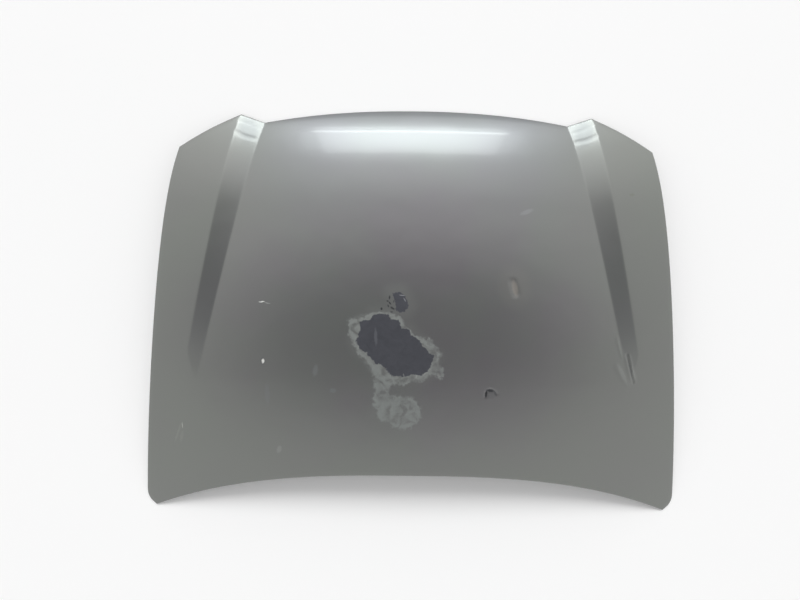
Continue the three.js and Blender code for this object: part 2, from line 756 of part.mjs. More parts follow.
// Halves the long edges inside the sheet, so that it follows its curve. An edge stays whole where its
// middle would lie close to a corner that is there already, so that the halving ends.
function refine(points, triangles, heightAt) {
  evenOut(points, triangles);
  let split = true;
  while (split) {
    split = false;
    const used = new Set();
    const length = ({ a, b }) => Math.hypot(points[a].x - points[b].x, points[a].y - points[b].y);
    const long = sharedEdges(triangles).filter((edge) => length(edge) > LONGEST_EDGE);
    for (const { a, b, top, t, bottom, mate } of long.sort((p, q) => length(q) - length(p))) {
      if (used.has(t) || used.has(mate)) {
        continue;
      }
      const x = (points[a].x + points[b].x) / 2;
      const y = (points[a].y + points[b].y) / 2;
      const across = [top, bottom].map((at) => Math.hypot(points[at].x - x, points[at].y - y));
      if (Math.min(...across) < CLOSEST_POINTS) {
        continue;
      }
      const middle = points.push(new THREE.Vector3(x, y, heightAt(x, y))) - 1;
      triangles[t] = [a, middle, top];
      triangles[mate] = [b, middle, bottom];
      triangles.push([middle, b, top], [middle, a, bottom]);
      used.add(t).add(mate);
      split = true;
    }
    evenOut(points, triangles);
  }
}

// The frame: hem flange, wall, curved floor, windows with raised flanges, flat pads and slots
function innerFrame() {
  const sheet = newSheet();
  const flangeDepth = SKIN_SHEET + SEAM_GAP;
  const flangeEdge = addRing(sheet, border.map((cell) => underBorder(cell, foldShare, flangeDepth)));
  const bendOf = new Map();
  const bendPlan = [];
  const bend = border.map((cell) => {
    const at = gridIndex(...partnerOf(cell));
    if (!bendOf.has(at)) {
      const point = gridPoints[at].clone().addScaledVector(gridNormals[at], -flangeDepth);
      bendOf.set(at, sheet.points.push(point) - 1);
      bendPlan.push(point);
    }
    return bendOf.get(at);
  });
  addStrip(sheet, flangeEdge, bend);
  const floorEdge = addRing(sheet, bendPlan.map((point, i) => {
    const before = bendPlan[(i + bendPlan.length - 1) % bendPlan.length];
    const after = bendPlan[(i + 1) % bendPlan.length];
    const into = planPoint(point.x - before.x, point.y - before.y).normalize();
    const away = planPoint(after.x - point.x, after.y - point.y).normalize();
    const inwards = planPoint(-into.y - away.y, into.x + away.x);
    inwards.multiplyScalar((2 * WALL_RUN) / inwards.lengthSq());
    const x = point.x + inwards.x;
    const y = point.y + inwards.y;
    return new THREE.Vector3(x, y, frameAt(x, y));
  }));
  addStrip(sheet, [...bendOf.values()], floorEdge);

  const holes = [];
  const glueAt = (x, y) => groundAt(x, y) - GLUE_DEPTH;
  for (const outline of windows) {
    const foot = addRing(sheet, lifted(outline, WINDOW_FLANGE + WINDOW_WALL_RUN, frameAt));
    const top = addRing(sheet, lifted(outline, WINDOW_FLANGE, glueAt));
    const edge = addRing(sheet, lifted(outline, 0, glueAt));
    addStrip(sheet, foot, top);
    addStrip(sheet, top, edge);
    holes.push(foot);
  }
  for (const pad of pads) {
    const foot = addRing(sheet, lifted(pad.outline, PAD_WALL_RUN, frameAt));
    const flat = addRing(sheet, lifted(pad.outline, 0, () => pad.z));
    const padHoles = pad.holes.map((hole) => addRing(sheet, lifted(hole, 0, () => pad.z)));
    addStrip(sheet, foot, flat);
    sheet.triangles.push(...fillOutline(sheet, flat, padHoles));
    holes.push(foot);
  }
  for (const slot of slotOutlines()) {
    holes.push(addRing(sheet, lifted(slot, 0, frameAt)));
  }
  const floor = fillOutline(sheet, floorEdge, holes);
  refine(sheet.points, floor, frameAt);
  sheet.triangles.push(...floor);

  const normals = pointNormals(sheet.points, sheet.triangles);
  const lower = sheet.points.map((p, i) => p.clone().addScaledVector(normals[i], -FRAME_SHEET));
  return closeLayers(sheet.points, lower, sheet.triangles);
}

const skinMesh = addPiece("outer_skin", outerSkin(), outerPaint);
const frameMesh = addPiece("inner_frame", innerFrame(), framePaint);

// Flat plates and nuts, cut from an outline with holes and set at a height
function plate(outline, holes, thickness, bottomZ) {
  const flat = (ring) => ring.map((point) => new THREE.Vector2(point.x, point.y));
  const shape = new THREE.Shape(flat(outline));
  shape.holes = holes.map((hole) => new THREE.Path(flat(hole)));
  const geometry = new THREE.ExtrudeGeometry(shape, { depth: thickness, bevelEnabled: false });
  return geometry.translate(0, 0, bottomZ);
}

function hexagon(x, y) {
  return roundOutline(x, y, NUT_ACROSS_FLATS / Math.sqrt(3), 6);
}

// A turned piece from its profile of radius and height, standing at a place in plan
function turned(profile, x, y) {
  const points = profile.map(([radius, z]) => new THREE.Vector2(radius, z));
  return new THREE.LatheGeometry(points, ROUND_PARTS).rotateX(Math.PI / 2).translate(x, y, 0);
}

const sideName = (x) => (x < 0 ? "left" : "right");

// Hinge reinforcements above the pads, each with two weld nuts
for (const pad of hingePads) {
  const bottom = pad.z + SEAM_GAP;
  const halfX = HINGE_PAD.halfX - REINFORCEMENT_MARGIN;
  const halfY = HINGE_PAD.halfY - REINFORCEMENT_MARGIN;
  const outline = boxOutline(pad.x, pad.y, halfX, halfY, PAD_RADIUS - REINFORCEMENT_MARGIN);
  const name = "hinge_reinforcement_" + sideName(pad.x);
  addPiece(name, plate(outline, pad.holes, REINFORCEMENT_SHEET, bottom), plainSteel);
  const nutZ = bottom + REINFORCEMENT_SHEET + SEAM_GAP;
  pad.bolts.forEach((bolt, i) => {
    const nut = plate(hexagon(bolt.x, bolt.y), [boltHole(bolt.x, bolt.y)], NUT_HEIGHT, nutZ);
    addPiece("hinge_weld_nut_" + sideName(pad.x) + "_" + (i + 1), nut, zincSteel);
  });
}

// Striker: reinforcement and weld nuts above the pad, plate, loop and bolts below it
function strikerAssembly() {
  const halfX = LATCH_PAD.halfX - REINFORCEMENT_MARGIN;
  const halfY = LATCH_PAD.halfY - REINFORCEMENT_MARGIN;
  const bottom = latch.z + SEAM_GAP;
  const outline = boxOutline(0, latch.y, halfX, halfY, PAD_RADIUS - REINFORCEMENT_MARGIN);
  const reinforcement = plate(outline, latch.holes, REINFORCEMENT_SHEET, bottom);
  addPiece("striker_reinforcement", reinforcement, plainSteel);

  const plateTop = latch.z - FRAME_SHEET - SEAM_GAP;
  const plateBottom = plateTop - STRIKER_PLATE.thick;
  const { halfX: plateX, halfY: plateY, radius } = STRIKER_PLATE;
  const plateOutline = boxOutline(0, latch.y, plateX, plateY, radius);
  const strikerPlate = plate(plateOutline, latch.holes, STRIKER_PLATE.thick, plateBottom);
  addPiece("striker_plate", strikerPlate, zincSteel);

  const nutZ = bottom + REINFORCEMENT_SHEET + SEAM_GAP;
  const headTop = plateBottom - SEAM_GAP;
  latch.bolts.forEach((bolt, i) => {
    const nut = plate(hexagon(bolt.x, bolt.y), [boltHole(bolt.x, bolt.y)], NUT_HEIGHT, nutZ);
    addPiece("striker_weld_nut_" + (i + 1), nut, zincSteel);
    const headRadius = NUT_ACROSS_FLATS / 2;
    const profile = [
      [0, headTop - BOLT_HEAD_HEIGHT],
      [headRadius - THREAD_CHAMFER, headTop - BOLT_HEAD_HEIGHT],
      [headRadius, headTop - BOLT_HEAD_HEIGHT + THREAD_CHAMFER],
      [headRadius, headTop],
      [BOLT_DIAMETER / 2, headTop],
      [BOLT_DIAMETER / 2, nutZ + NUT_HEIGHT + BOLT_POINT],
      [0, nutZ + NUT_HEIGHT + BOLT_POINT],
    ];
    addPiece("striker_bolt_" + (i + 1), turned(profile, bolt.x, bolt.y), zincSteel);
  });
  addPiece("striker_loop", strikerLoop(plateBottom - SEAM_GAP), zincSteel);
}

// A bent rod, with its two ends against the plate
function strikerLoop(topZ) {
  const half = STRIKER_SPAN / 2;
  const low = topZ - STRIKER_DROP;
  const at = (x, z) => new THREE.Vector3(x, latch.y, z);
  const path = new THREE.CurvePath();
  path.add(new THREE.LineCurve3(at(-half, topZ), at(-half, low + STRIKER_BEND)));
  path.add(new THREE.QuadraticBezierCurve3(
    at(-half, low + STRIKER_BEND), at(-half, low), at(STRIKER_BEND - half, low)));
  path.add(new THREE.LineCurve3(at(STRIKER_BEND - half, low), at(half - STRIKER_BEND, low)));
  path.add(new THREE.QuadraticBezierCurve3(
    at(half - STRIKER_BEND, low), at(half, low), at(half, low + STRIKER_BEND)));
  path.add(new THREE.LineCurve3(at(half, low + STRIKER_BEND), at(half, topZ)));
  const section = new THREE.Shape();
  section.absarc(0, 0, STRIKER_ROD_RADIUS, 0, 2 * Math.PI);
  return new THREE.ExtrudeGeometry(section, {
    extrudePath: path,
    steps: STRIKER_BEND_STEPS,
    curveSegments: STRIKER_ROD_FACES,
  });
}

strikerAssembly();

// Front buffers: a rubber head below the pad on a stud, held by a weld nut above it
for (const pad of frontBuffers) {
  const name = sideName(pad.x);
  const under = pad.z - FRAME_SHEET - SEAM_GAP;
  const { radius, height, chamfer, shoulder } = BUFFER_HEAD;
  const studBottom = under - height / 2;
  const bore = STUD_RADIUS + SEAM_GAP;
  const head = [
    [0, under - height],
    [radius - chamfer, under - height],
    [radius, under - height + chamfer],
    [radius, under - shoulder],
    [radius - shoulder, under],
    [bore, under],
    [bore, studBottom - SEAM_GAP],
    [0, studBottom - SEAM_GAP],
  ];
  addPiece("front_buffer_" + name, turned(head, pad.x, pad.y), blackRubber);
  const stud = [
    [0, studBottom],
    [STUD_RADIUS, studBottom],
    [STUD_RADIUS, pad.z + STUD_REACH - THREAD_CHAMFER],
    [STUD_RADIUS - THREAD_CHAMFER, pad.z + STUD_REACH],
    [0, pad.z + STUD_REACH],
  ];
  addPiece("front_buffer_stud_" + name, turned(stud, pad.x, pad.y), zincSteel);
  const nut = plate(hexagon(pad.x, pad.y), [boltHole(pad.x, pad.y)], NUT_HEIGHT, pad.z + SEAM_GAP);
  addPiece("front_buffer_nut_" + name, nut, zincSteel);
}

// Side cushions: push-in rubber, with a head below the pad and a barb above it
for (const pad of cushions) {
  const under = pad.z - FRAME_SHEET - SEAM_GAP;
  const over = pad.z + SEAM_GAP;
  const { radius, height, chamfer } = CUSHION_HEAD;
  const barbTop = over + CUSHION_BARB.height;
  const profile = [
    [0, under - height],
    [radius - chamfer, under - height],
    [radius, under - height + chamfer],
    [radius, under],
    [CUSHION_NECK_RADIUS, under],
    [CUSHION_NECK_RADIUS, over],
    [CUSHION_NECK_RADIUS + CUSHION_BARB.overhang, over],
    [CUSHION_NECK_RADIUS, barbTop],
    [0, barbTop + CUSHION_BARB.point],
  ];
  const name = "side_cushion_" + pad.place + "_" + sideName(pad.x);
  addPiece(name, turned(profile, pad.x, pad.y), blackRubber);
}

// Grommet in the hole that takes the prop rod's end
function propGrommet() {
  const under = propPad.z - FRAME_SHEET - SEAM_GAP;
  const over = propPad.z + SEAM_GAP;
  const groove = PROP_HOLE_RADIUS - SEAM_GAP;
  const { width, thick, chamfer } = GROMMET_LIP;
  const rim = PROP_HOLE_RADIUS + width;
  const profile = [
    [GROMMET_BORE, under - thick],
    [rim - chamfer, under - thick],
    [rim, under - thick + chamfer],
    [rim, under],
    [groove, under],
    [groove, over],
    [rim - chamfer, over],
    [GROMMET_BORE + chamfer, over + GROMMET_RISE],
    [GROMMET_BORE, over + GROMMET_RISE],
    [GROMMET_BORE, under - thick],
  ];
  return turned(profile, propPad.x, propPad.y);
}
addPiece("prop_rod_grommet", propGrommet(), blackRubber);

// Mastic dabs on the window flanges, in the middle of the window's sides. Each fills the space between
// the flange and the skin, but for a gap at both.
function masticDab(x, y, alongX, alongY) {
  const slopeX = (groundAt(x + 1, y) - groundAt(x - 1, y)) / 2;
  const slopeY = (groundAt(x, y + 1) - groundAt(x, y - 1)) / 2;
  const normal = new THREE.Vector3(-slopeX, -slopeY, 1).normalize();
  const along = new THREE.Vector3(alongX, alongY, 0);
  along.addScaledVector(normal, -along.dot(normal)).normalize();
  const across = normal.clone().cross(along);
  const between = (SKIN_SHEET + GLUE_DEPTH) / 2;
  const middle = new THREE.Vector3(x, y, groundAt(x, y)).addScaledVector(normal, -between);
  const reach = { up: Infinity, down: Infinity };
  for (const [u, v] of [[0, 0], [DAB_STRETCH, 0], [-DAB_STRETCH, 0], [0, 1], [0, -1]]) {
    const from = middle.clone();
    from.addScaledVector(along, u * DAB_RADIUS).addScaledVector(across, v * DAB_RADIUS);
    const [above] = new THREE.Raycaster(from, normal).intersectObject(skinMesh);
    const [below] = new THREE.Raycaster(from, normal.clone().negate()).intersectObject(frameMesh);
    reach.up = Math.min(reach.up, above.distance - SEAM_GAP);
    reach.down = Math.min(reach.down, below.distance - SEAM_GAP);
  }
  const profile = [
    [0, -reach.down],
    [DAB_RADIUS - DAB_EDGE, -reach.down],
    [DAB_RADIUS, (reach.up - reach.down) / 2],
    [DAB_RADIUS - DAB_EDGE, reach.up],
    [0, reach.up],
  ].map(([radius, z]) => new THREE.Vector2(radius, z));
  const place = new THREE.Matrix4().makeBasis(along.multiplyScalar(DAB_STRETCH), across, normal);
  const dab = new THREE.LatheGeometry(profile, DAB_POINTS).rotateX(Math.PI / 2);
  return dab.applyMatrix4(place.setPosition(middle));
}

let dabCount = 0;
windowCorners.forEach((corners, w) => {
  corners.forEach((start, i) => {
    const isLongSide = w < 2 || i % 2 === 1;
    if (!isLongSide) {
      return;
    }
    const end = corners[(i + 1) % corners.length];
    const along = end.clone().sub(start).normalize();
    const middle = start.clone().lerp(end, 0.5);
    middle.add(new THREE.Vector2(along.y, -along.x).multiplyScalar(WINDOW_FLANGE / 2));
    dabCount += 1;
    const name = "mastic_dab_" + String(dabCount).padStart(2, "0");
    addPiece(name, masticDab(middle.x, middle.y, along.x, along.y), greyMastic);
  });
});

// The part's origin is the middle of its box, on the surface that it lies on.
bonnet.updateMatrixWorld(true);
const box = new THREE.Box3().setFromObject(bonnet, true);
const boxMiddle = box.getCenter(new THREE.Vector3());
bonnet.position.set(-boxMiddle.x, -boxMiddle.y, -box.min.z);

export default bonnet;
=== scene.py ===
import json
import math

import bmesh
import bpy
from mathutils import Matrix, Vector

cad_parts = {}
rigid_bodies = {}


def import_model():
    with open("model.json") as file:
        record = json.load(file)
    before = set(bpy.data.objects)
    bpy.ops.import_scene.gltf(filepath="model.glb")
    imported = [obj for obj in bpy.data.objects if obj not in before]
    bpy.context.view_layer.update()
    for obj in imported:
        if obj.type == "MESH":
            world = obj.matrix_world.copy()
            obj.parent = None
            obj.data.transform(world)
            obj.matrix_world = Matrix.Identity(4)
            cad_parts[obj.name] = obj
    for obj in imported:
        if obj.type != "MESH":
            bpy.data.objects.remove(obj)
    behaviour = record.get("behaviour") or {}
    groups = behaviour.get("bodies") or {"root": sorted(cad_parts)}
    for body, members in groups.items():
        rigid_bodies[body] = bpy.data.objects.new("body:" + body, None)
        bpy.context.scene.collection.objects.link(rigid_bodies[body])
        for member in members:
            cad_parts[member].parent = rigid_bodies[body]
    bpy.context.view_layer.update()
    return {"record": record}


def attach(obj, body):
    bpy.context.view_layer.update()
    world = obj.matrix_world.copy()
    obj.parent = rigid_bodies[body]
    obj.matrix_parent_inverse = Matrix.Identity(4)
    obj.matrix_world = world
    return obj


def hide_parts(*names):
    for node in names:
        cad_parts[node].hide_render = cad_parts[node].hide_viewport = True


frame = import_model()

# The panel's own sizes, in millimetres, as the model has them.
# The panel's frame starts midway between the rear tips, and +Y points to the nose.
PANEL_LENGTH = 1105
REAR_TIP_HALF = 735
REAR_ARCH = 147
REAR_ARCH_POWER = 2.6
TIP_FLARE = 29.5
TIP_CURVE_LENGTH = 60
CORNER_HALF = 597
CORNER_SETBACK = 97
CORNER_TUCK = 23.5
CORNER_TUCK_POWER = 8
HEADLAMP_BULGE = 4
CREASE_FRONT_X = 386
CREASE_SETBACK = 33
CREASE_REAR_INSET = 47.8
NOSE_SWEEP_POWER = 2.2
CREST_SETBACK = 13.5
STEP_FRONT_WIDTH = 63.5
STEP_TAIL_WIDTH = 44
STEP_END_WIDTH = 14
STEP_END_Y = 410
STEP_TAIL_LENGTH = 90
STEP_DEPTH = 22
MIDDLE_DEPTH = 8
CROWN_HEIGHT = 120
CROWN_Y = 560
REAR_FALL = 25
SIDE_FALL_POWER = 2.2
NOSE_ROLL = 240
NOSE_ROLL_POWER = 3
SKIN_SHEET = 0.8
FRAME_SHEET = 0.7
SEAM_GAP = 0.3
HEM_WIDTH = 12
FLANGE_WIDTH = 14.5

# What the drawn skin has beyond the model: rounded creases, and a little room in its fold
STEP_ROUNDING = 3
FOLD_ROOM = 0.4
HEM_RADIUS = SKIN_SHEET + SEAM_GAP + FRAME_SHEET / 2 + FOLD_ROOM

# How fine the skin is drawn
INNER_COLUMNS = 60
SHARES_BESIDE_CREASE = [0.992, 0.997]
STEP_COLUMNS = 12
SHARES_BESIDE_CREST = [0, 0.008, 0.025]
OUTER_COLUMNS = 18
LONG_ROWS = 92
NOSE_ROWS = 40
FOLD_TURNS = 6
FINE_ROUND_PEEL = 15
FINE_ROUND_DENT = 10
FINE_CUTS = 2
ON_BORDER = 0.01
SMOOTH_ANGLE = 40
MEET_ROUNDS = 40
WELD_DISTANCE = 1e-6

# The rear part of each step's face gets painted shade, a tone darker: where that ends, and how long it comes
# and goes
STEP_SHADE_END_Y = 1010
STEP_SHADE_RISE = 170
STEP_SHADE_FADE = 330

# Wear, by its place on the panel in millimetres: bare patches, where colour and clear coat have come off
BARE_PATCHES = [
    [(-136, 581), (-109, 585), (-102, 600), (-63, 602), (-59, 588), (-40, 585), (-28, 565), (-15, 562),
     (-6, 547), (15, 533), (26, 515), (54, 493), (46, 474), (42, 454), (20, 440), (-1, 443), (-17, 438),
     (-56, 438), (-70, 456), (-85, 469), (-97, 471), (-119, 498), (-137, 509), (-148, 530), (-136, 557)],
    [(-56, 655), (-35, 658), (-20, 640), (-13, 622), (-22, 606), (-36, 603), (-45, 611), (-45, 627)],
]
# The clear coat round and below them, lifted and gone pale
LIFTED_COAT = [
    (-169, 579), (-164, 590), (-141, 588), (-112, 597), (-98, 605), (-66, 605), (-53, 602), (-38, 597),
    (-25, 569), (-5, 554), (18, 536), (46, 536), (59, 513), (70, 492), (66, 465), (76, 457), (72, 432),
    (56, 440), (41, 440), (21, 424), (0, 423), (-23, 415), (-38, 417), (-64, 412), (-59, 387), (-33, 379),
    (-2, 382), (19, 354), (25, 329), (13, 303), (-16, 291), (-50, 293), (-58, 308), (-84, 313), (-100, 350),
    (-100, 391), (-95, 425), (-103, 438), (-113, 468), (-136, 488), (-151, 515), (-162, 541), (-161, 559),
]
# The circle that holds all the peeling, and the distance to it that points outside are given
WEAR_MIDDLE = (-45, 475)
WEAR_REACH = 260
FAR = 100.0
# Longer than any dent's line, so that dents far from a point can be passed over
DENT_SEARCH = 100
# Dents: the line each follows, how far it reaches to each side, and how high it stands
DENTS = [
    ([(190, 381), (192, 397), (201, 402), (213, 396), (218, 389)], 6, -0.9),
    ([(247, 684), (256, 655)], 15, -0.7),
    ([(561, 489), (574, 452), (586, 413)], 6, -0.9),
    ([(568, 488), (580, 452), (593, 416)], 5, 0.6),
    ([(531, 534), (549, 486)], 9, 0.3),
    ([(536, 457), (570, 408)], 13, 0.35),
    ([(-447, 1075), (-425, 1068), (-400, 1059)], 7, -0.6),
    ([(-452, 1046), (-432, 1036), (-408, 1030)], 9, -0.5),
    ([(400, 1054), (424, 1062), (446, 1074)], 7, -0.6),
    ([(404, 1030), (430, 1036), (452, 1046)], 9, -0.5),
]
# Spots and scratches, and painted shade and painted highlights along some dents and beside the steps' front
# ends: middle, half length, half width, turn in degrees, colour, strength
MARKS_AND_PAINTED_SHADE = [
    ((-388, 624), 9, 1.4, 3, "e2e4e0", 1.0),
    ((-373, 621), 8, 1.2, -8, "b4b6b2", 0.5),
    ((-389, 468), 10, 6, 90, "46484c", 0.5),
    ((-389, 468), 7, 3.6, 82, "e8e8e4", 1.0),
    ((-381, 376), 32, 7, 90, "80848a", 0.15),
    ((-625, 269), 10, 1.3, 86, "a8aaa4", 0.7),
    ((-640, 246), 34, 3, 68, "8e908a", 0.2),
    ((-630, 236), 20, 5, 75, "8e908a", 0.15),
    ((253, 669), 22, 8, 105, "a09890", 0.45),
    ((252, 672), 60, 45, 105, "86847e", 0.15),
    # Painted shade along the hook dent's groove and inside the hook, and a small painted glint in its bend
    ((191, 389), 11, 3.4, 85, "1c1e22", 0.9),
    ((201, 399), 13, 5, -8, "2a2c30", 0.8),
    ((215, 391), 8, 3.5, -62, "34363c", 0.45),
    ((204, 386), 14, 11, 0, "505256", 0.2),
    ((195, 396), 1.8, 1.5, 0, "b0b4b0", 0.2),
    ((276, 858), 18, 6, 20, "9a9ca0", 0.2),
    ((543, 903), 7, 4, 0, "5e6250", 0.3),
    ((-252, 448), 17, 7, 80, "8c9092", 0.3),
    ((-207, 394), 9, 7, 0, "828a8c", 0.3),
    ((-356, 217), 13, 7, 70, "8e908e", 0.35),
    ((-96, 541), 24, 4.5, 92, "787a80", 0.45),
    ((-82, 614), 4, 3, 60, "2c2e32", 0.8),
    ((-62, 643), 6, 2.4, 80, "303236", 0.8),
    ((-67, 634), 3, 2.4, 0, "303236", 0.7),
    ((-61, 629), 5, 2.2, 130, "2c2e32", 0.8),
    ((-65, 622), 4, 2.4, 110, "36383c", 0.7),
    ((-54, 616), 6, 3, 150, "303236", 0.8),
    ((-57, 606), 4, 2.4, 0, "36383c", 0.6),
    ((-51, 634), 5, 2, 70, "3a3c42", 0.6),
    ((-31, 649), 8, 1.4, -6, "b8babe", 0.6),
    ((-24, 638), 6, 1.5, 118, "b0b2b8", 0.5),
    ((-24, 440), 5, 2, 100, "9a9c9a", 0.45),
    ((9, 437), 5, 2.4, 60, "9a9c9a", 0.45),
    ((30, 444), 9, 2, 40, "9a9c9a", 0.4),
    ((66, 440), 8, 4, 100, "8c8e8c", 0.5),
    # Painted highlights along the crumpled tail's raised lines, and painted shade along its groove
    ((541, 508), 28, 3.4, 108, "969c98", 0.15),
    ((554, 436), 34, 6, 118, "969a98", 0.18),
    ((584, 440), 26, 2.2, 108, "9a9c9a", 0.35),
    ((575, 448), 34, 2.6, 108, "303236", 0.35),
    # Painted shade beside the front ends of the steps, over their dents
    ((-424, 1052), 34, 24, 100, "4c5054", 0.35),
    ((424, 1052), 34, 24, 80, "4c5054", 0.35),
]

# Where the panel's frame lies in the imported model's frame
PANEL_MIDDLE_Y = -552.264
PANEL_BASE_Z = 3.334

corner_y = PANEL_LENGTH - CORNER_SETBACK
crease_front_y = PANEL_LENGTH - CREASE_SETBACK
crest_front_y = PANEL_LENGTH - CREST_SETBACK
crease_spread = (REAR_TIP_HALF - CREASE_REAR_INSET - CREASE_FRONT_X) / crease_front_y


def clamp(value, low=0.0, high=1.0):
    return min(max(value, low), high)


def lerp(start, end, share):
    return start + (end - start) * share


def smooth(share):
    share = clamp(share)
    return share * share * (3 - 2 * share)


# Outlines of the panel in plan
def rear_edge_y(x):
    return REAR_ARCH * (1 - (abs(x) / REAR_TIP_HALF) ** REAR_ARCH_POWER)


def crease_x(y):
    return CREASE_FRONT_X + crease_spread * (crease_front_y - y)


def step_width(y):
    tail_start = STEP_END_Y + STEP_TAIL_LENGTH
    tail = lerp(STEP_END_WIDTH, STEP_TAIL_WIDTH, smooth((y - STEP_END_Y) / STEP_TAIL_LENGTH))
    along = clamp((y - tail_start) / (crest_front_y - tail_start))
    return tail + (STEP_FRONT_WIDTH - STEP_TAIL_WIDTH) * along


def crest_x(y):
    return crease_x(y) + step_width(y)


crest_front_x = crest_x(crest_front_y)


def front_edge_y(x):
    x = abs(x)
    if x <= CREASE_FRONT_X:
        return PANEL_LENGTH - CREASE_SETBACK * (x / CREASE_FRONT_X) ** NOSE_SWEEP_POWER
    if x <= crest_front_x:
        return lerp(crease_front_y, crest_front_y, (x - CREASE_FRONT_X) / (crest_front_x - CREASE_FRONT_X))
    along = (x - crest_front_x) / (CORNER_HALF - crest_front_x)
    return lerp(crest_front_y, corner_y, along) + HEADLAMP_BULGE * math.sin(math.pi * clamp(along))


def side_edge_x(y):
    along = y / corner_y
    straight = lerp(REAR_TIP_HALF + TIP_FLARE, CORNER_HALF + CORNER_TUCK, along)
    tip = TIP_FLARE * max(0, 1 - y / TIP_CURVE_LENGTH) ** 3
    return straight - tip - CORNER_TUCK * max(0, along) ** CORNER_TUCK_POWER


def flange_x(y):
    slope = side_edge_x(y + 0.5) - side_edge_x(y - 0.5)
    return side_edge_x(y) - FLANGE_WIDTH * math.hypot(1, slope)


# Heights of the painted face
crown_bow = REAR_FALL / (CROWN_Y - REAR_ARCH) ** 2
tip_drop = CROWN_HEIGHT - crown_bow * CROWN_Y ** 2


def crown_at(x, y):
    fall = tip_drop * (abs(x) / REAR_TIP_HALF) ** SIDE_FALL_POWER
    return CROWN_HEIGHT - crown_bow * (y - CROWN_Y) ** 2 - fall


def body_at(x, y):
    nose_y = PANEL_LENGTH - CREST_SETBACK * (x / crest_front_x) ** 2
    roll = max(0, 1 - (nose_y - y) / NOSE_ROLL) ** NOSE_ROLL_POWER
    return crown_at(x, y) - (crown_at(x, nose_y) - MIDDLE_DEPTH) * roll


def softened(distance):
    """Zero before a corner and the distance after it, eased over STEP_ROUNDING to each side."""
    if abs(distance) < STEP_ROUNDING:
        return (distance + STEP_ROUNDING) ** 2 / (4 * STEP_ROUNDING)
    return max(0, distance)


def sunk_at(x, y):
    along = max(0, (y - STEP_END_Y) / (crease_front_y - STEP_END_Y))
    at_foot = STEP_DEPTH * along
    at_middle = MIDDLE_DEPTH * smooth(along)
    past_crease = abs(x) - crease_x(y)
    width = step_width(y)
    rise = (softened(past_crease) - softened(past_crease - width)) / width
    return lerp(at_middle, at_foot, min(abs(x) / crease_x(y), 1) ** 2) * (1 - rise)


def skin_at(x, y):
    return body_at(x, y) - sunk_at(x, y)


# Distances in plan, for the dents and the edges of the wear
def off_segment(point, start, end):
    along = clamp((point - start).dot(end - start) / (end - start).length_squared)
    return (point - start.lerp(end, along)).length


def off_line(point, corners):
    return min(off_segment(point, Vector(start), Vector(end)) for start, end in zip(corners, corners[1:]))


def off_outline(point, corners):
    """The distance to an outline, below zero inside it."""
    inside = False
    for (x1, y1), (x2, y2) in zip(corners, corners[1:] + corners[:1]):
        if (y1 > point.y) != (y2 > point.y) and point.x < x1 + (point.y - y1) / (y2 - y1) * (x2 - x1):
            inside = not inside
    distance = off_line(point, corners + corners[:1])
    return -distance if inside else distance


def dented(plan):
    """The height that the dents add at a point."""
    height = 0
    for line, reach, top in DENTS:
        if (plan - Vector(line[0])).length > reach + DENT_SEARCH:
            continue
        share = off_line(plan, line) / reach
        if share < 1:
            height += top * (1 - share ** 2) ** 2
    return height


def painted_step_shade_at(plan):
    """How much painted shade a point gets as the rear part of a step's sloping face, from 0 to 1."""
    past_crease = abs(plan.x) - crease_x(plan.y)
    across = clamp(past_crease / STEP_ROUNDING) * clamp((step_width(plan.y) - past_crease) / STEP_ROUNDING)
    rise = smooth((plan.y - STEP_END_Y) / STEP_SHADE_RISE)
    fade = smooth((STEP_SHADE_END_Y - plan.y) / STEP_SHADE_FADE)
    return across * rise * fade


# Lines that run from the rear edge to the nose
def meet(line_x, edge_y, start_y):
    y = start_y
    for _ in range(MEET_ROUNDS):
        y = edge_y(line_x(y))
    return y


def length_line(line_x, rear_y, front_y):
    def point(t):
        y = lerp(rear_y, front_y, t)
        return Vector((line_x(y), y))
    return point


middle_line = length_line(lambda y: 0.0, REAR_ARCH, PANEL_LENGTH)
crease_line = length_line(crease_x, meet(crease_x, rear_edge_y, 0), crease_front_y)
crest_line = length_line(crest_x, meet(crest_x, rear_edge_y, 0), crest_front_y)
flange_line = length_line(flange_x, meet(flange_x, rear_edge_y, 0), meet(flange_x, front_edge_y, corner_y))
side_line = length_line(side_edge_x, 0, corner_y)


def between(left, right, share, t):
    """A point between two lines, kept on the rear and the front edge at their ends."""
    point = left(t).lerp(right(t), share)
    rear = left(0).lerp(right(0), share)
    front = left(1).lerp(right(1), share)
    point.y += (1 - t) * (rear_edge_y(rear.x) - rear.y) + t * (front_edge_y(front.x) - front.y)
    return point


# Where the columns and rows of the drawn skin lie
hem_share = FLANGE_WIDTH / corner_y
nose_share = 1 - NOSE_ROLL / corner_y
inner_stations = [at / INNER_COLUMNS for at in range(INNER_COLUMNS)] + SHARES_BESIDE_CREASE
step_stations = [(1 - math.cos(math.pi * at / STEP_COLUMNS)) / 2 for at in range(STEP_COLUMNS)]
outer_stations = SHARES_BESIDE_CREST + [at / OUTER_COLUMNS for at in range(1, OUTER_COLUMNS)]
columns = (
    [(middle_line, crease_line, share) for share in inner_stations]
    + [(crease_line, crest_line, share) for share in step_stations]
    + [(crest_line, flange_line, share) for share in outer_stations]
    + [(flange_line, side_line, 0), (flange_line, side_line, 1)]
)
rows = (
    [0]
    + [lerp(hem_share, nose_share, at / LONG_ROWS) for at in range(LONG_ROWS)]
    + [lerp(nose_share, 1 - hem_share, at / NOSE_ROWS) for at in range(NOSE_ROWS + 1)]
    + [1]
)
last_column = len(columns) - 1
last_row = len(rows) - 1


def plan_point(column, row):
    """The place in plan of a column and a row, whole or between two."""
    side = -1 if column < 0 else 1
    column = abs(column)
    first = min(int(column), last_column - 1)
    first_row = min(int(row), last_row - 1)
    t = lerp(rows[first_row], rows[first_row + 1], row - first_row)
    start = between(*columns[first], t)
    end = between(*columns[first + 1], t)
    point = start.lerp(end, column - first)
    point.x *= side
    return point


def on_skin(plan):
    return Vector((plan.x, plan.y, skin_at(plan.x, plan.y) + dented(plan)))


